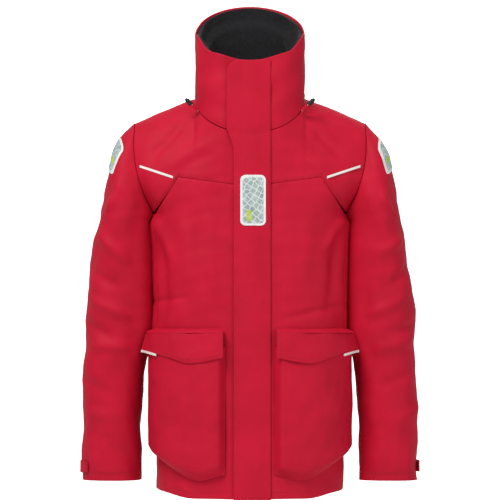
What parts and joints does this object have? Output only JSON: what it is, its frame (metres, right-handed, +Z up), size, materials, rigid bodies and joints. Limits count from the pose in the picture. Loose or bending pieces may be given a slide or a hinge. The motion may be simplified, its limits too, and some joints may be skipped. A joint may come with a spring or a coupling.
{
  "type": "foul weather jacket",
  "caption": "Red sailing foul weather jacket with a high fleece-lined collar, storm flap over a two-way zip, cargo pockets, cuff tabs and reflective patches",
  "frame": {"origin": "top of the hang loop at the nape of the collar", "axes": "+Z up, +X to the wearer's left, the jacket's front faces -Y"},
  "size_m": [0.6746, 0.3265, 0.9783],
  "materials": {
    "red_shell": "matte coated woven nylon",
    "black_fleece": "brushed pile",
    "black_lining": "matte woven",
    "black_webbing": "matte woven tape",
    "black_plastic": "satin moulded",
    "white_tape": "retroreflective piping",
    "reflective_sheet": "retroreflective prismatic sheet",
    "pale_cord": "braided elastic cord"
  },
  "bodies": {
    "root": {"front_panel_left": "red_shell", "front_panel_right": "red_shell", "front_yoke_left": "red_shell", "front_yoke_right": "red_shell", "side_panel_left": "red_shell", "side_panel_right": "red_shell", "back_panel": "red_shell", "back_yoke": "red_shell", "collar_outer": "red_shell", "stowed_hood": "red_shell", "inner_storm_flap": "red_shell", "pocket_bag_left": "red_shell", "pocket_bag_right": "red_shell", "pocket_flap_seat_left": "red_shell", "pocket_flap_seat_right": "red_shell", "hem_facing": "red_shell", "cord_tab_left": "red_shell", "cord_tab_right": "red_shell", "collar_lining": "black_fleece", "body_lining": "black_lining", "hang_loop": "black_lining", "zip_tape_left": "black_webbing", "zip_tape_right": "black_webbing", "storm_flap_loop_strip": "black_webbing", "zip_teeth_left": "black_plastic", "zip_teeth_right": "black_plastic", "zip_bottom_stop": "black_plastic", "cord_lock_left": "black_plastic", "cord_lock_right": "black_plastic", "chest_piping_left": "white_tape", "chest_piping_right": "white_tape", "drawcord_left": "pale_cord", "drawcord_right": "pale_cord"},
    "storm_flap": {"storm_flap": "red_shell", "storm_flap_hook_strip": "black_webbing", "reflective_patch": "reflective_sheet"},
    "top_slider": {"zip_slider_top": "black_plastic"},
    "top_puller": {"zip_puller_top": "black_plastic"},
    "bottom_slider": {"zip_slider_bottom": "black_plastic"},
    "bottom_puller": {"zip_puller_bottom": "black_plastic"},
    "pocket_flap_left": {"pocket_flap_left": "red_shell", "pocket_piping_left": "white_tape"},
    "sleeve_left": {"sleeve_left": "red_shell", "shoulder_patch_left": "reflective_sheet", "inner_cuff_left": "black_lining"},
    "cuff_tab_left": {"cuff_tab_left": "red_shell"},
    "cord_button_left": {"cord_lock_button_left": "black_plastic"},
    "pocket_flap_right": {"pocket_flap_right": "red_shell", "pocket_piping_right": "white_tape"},
    "sleeve_right": {"sleeve_right": "red_shell", "shoulder_patch_right": "reflective_sheet", "inner_cuff_right": "black_lining"},
    "cuff_tab_right": {"cuff_tab_right": "red_shell"},
    "cord_button_right": {"cord_lock_button_right": "black_plastic"}
  },
  "joints": [
    {"name": "storm_flap_hinge", "type": "hinge", "parent": "root", "child": "storm_flap", "pos_m": [0.041, -0.18544, -0.4423], "axis": [0, 0.0926, 0.9957], "range_deg": [0, 105]},
    {"name": "top_slider_travel", "type": "slide", "parent": "root", "child": "top_slider", "axis": [0, -0.0926, -0.9957], "range_m": [0, 0.4]},
    {"name": "top_puller_swing", "type": "hinge", "parent": "top_slider", "child": "top_puller", "pos_m": [0, -0.14351, -0.0066], "axis": [0, 0.9957, -0.0926], "range_deg": [-18, 18]},
    {"name": "bottom_slider_travel", "type": "slide", "parent": "root", "child": "bottom_slider", "axis": [0, 0.0926, 0.9957], "range_m": [0, 0.36]},
    {"name": "bottom_puller_swing", "type": "hinge", "parent": "bottom_slider", "child": "bottom_puller", "pos_m": [0, -0.21804, -0.80785], "axis": [0, 0.9957, -0.0926], "range_deg": [-18, 18]},
    {"name": "pocket_flap_left_lift", "type": "hinge", "parent": "root", "child": "pocket_flap_left", "pos_m": [0.12571, -0.20351, -0.51694], "axis": [-0.9585, -0.285, 0], "range_deg": [0, 150]},
    {"name": "shoulder_left_lift", "type": "hinge", "parent": "root", "child": "sleeve_left", "pos_m": [0.229, -0.0451, -0.1028], "axis": [0, -1, 0], "range_deg": [0, 40]},
    {"name": "cuff_tab_left_peel", "type": "hinge", "parent": "sleeve_left", "child": "cuff_tab_left", "pos_m": [0.25366, 0.00387, -0.78391], "axis": [0, 0, 1], "range_deg": [0, 60]},
    {"name": "cord_button_left_press", "type": "slide", "parent": "root", "child": "cord_button_left", "axis": [-0.7134, 0.1783, -0.6777], "range_m": [0, 0.003], "stiffness_N_per_m": 30, "springref_m": -0.001},
    {"name": "pocket_flap_right_lift", "type": "hinge", "parent": "root", "child": "pocket_flap_right", "pos_m": [-0.12571, -0.20351, -0.51694], "axis": [-0.9585, 0.285, 0], "range_deg": [0, 150]},
    {"name": "shoulder_right_lift", "type": "hinge", "parent": "root", "child": "sleeve_right", "pos_m": [-0.229, -0.0451, -0.1028], "axis": [0, 1, 0], "range_deg": [0, 40]},
    {"name": "cuff_tab_right_peel", "type": "hinge", "parent": "sleeve_right", "child": "cuff_tab_right", "pos_m": [-0.25366, 0.00387, -0.78391], "axis": [0, 0, -1], "range_deg": [0, 60]},
    {"name": "cord_button_right_press", "type": "slide", "parent": "root", "child": "cord_button_right", "axis": [0.7134, 0.1783, -0.6777], "range_m": [0, 0.003], "stiffness_N_per_m": 30, "springref_m": -0.001}
  ]
}
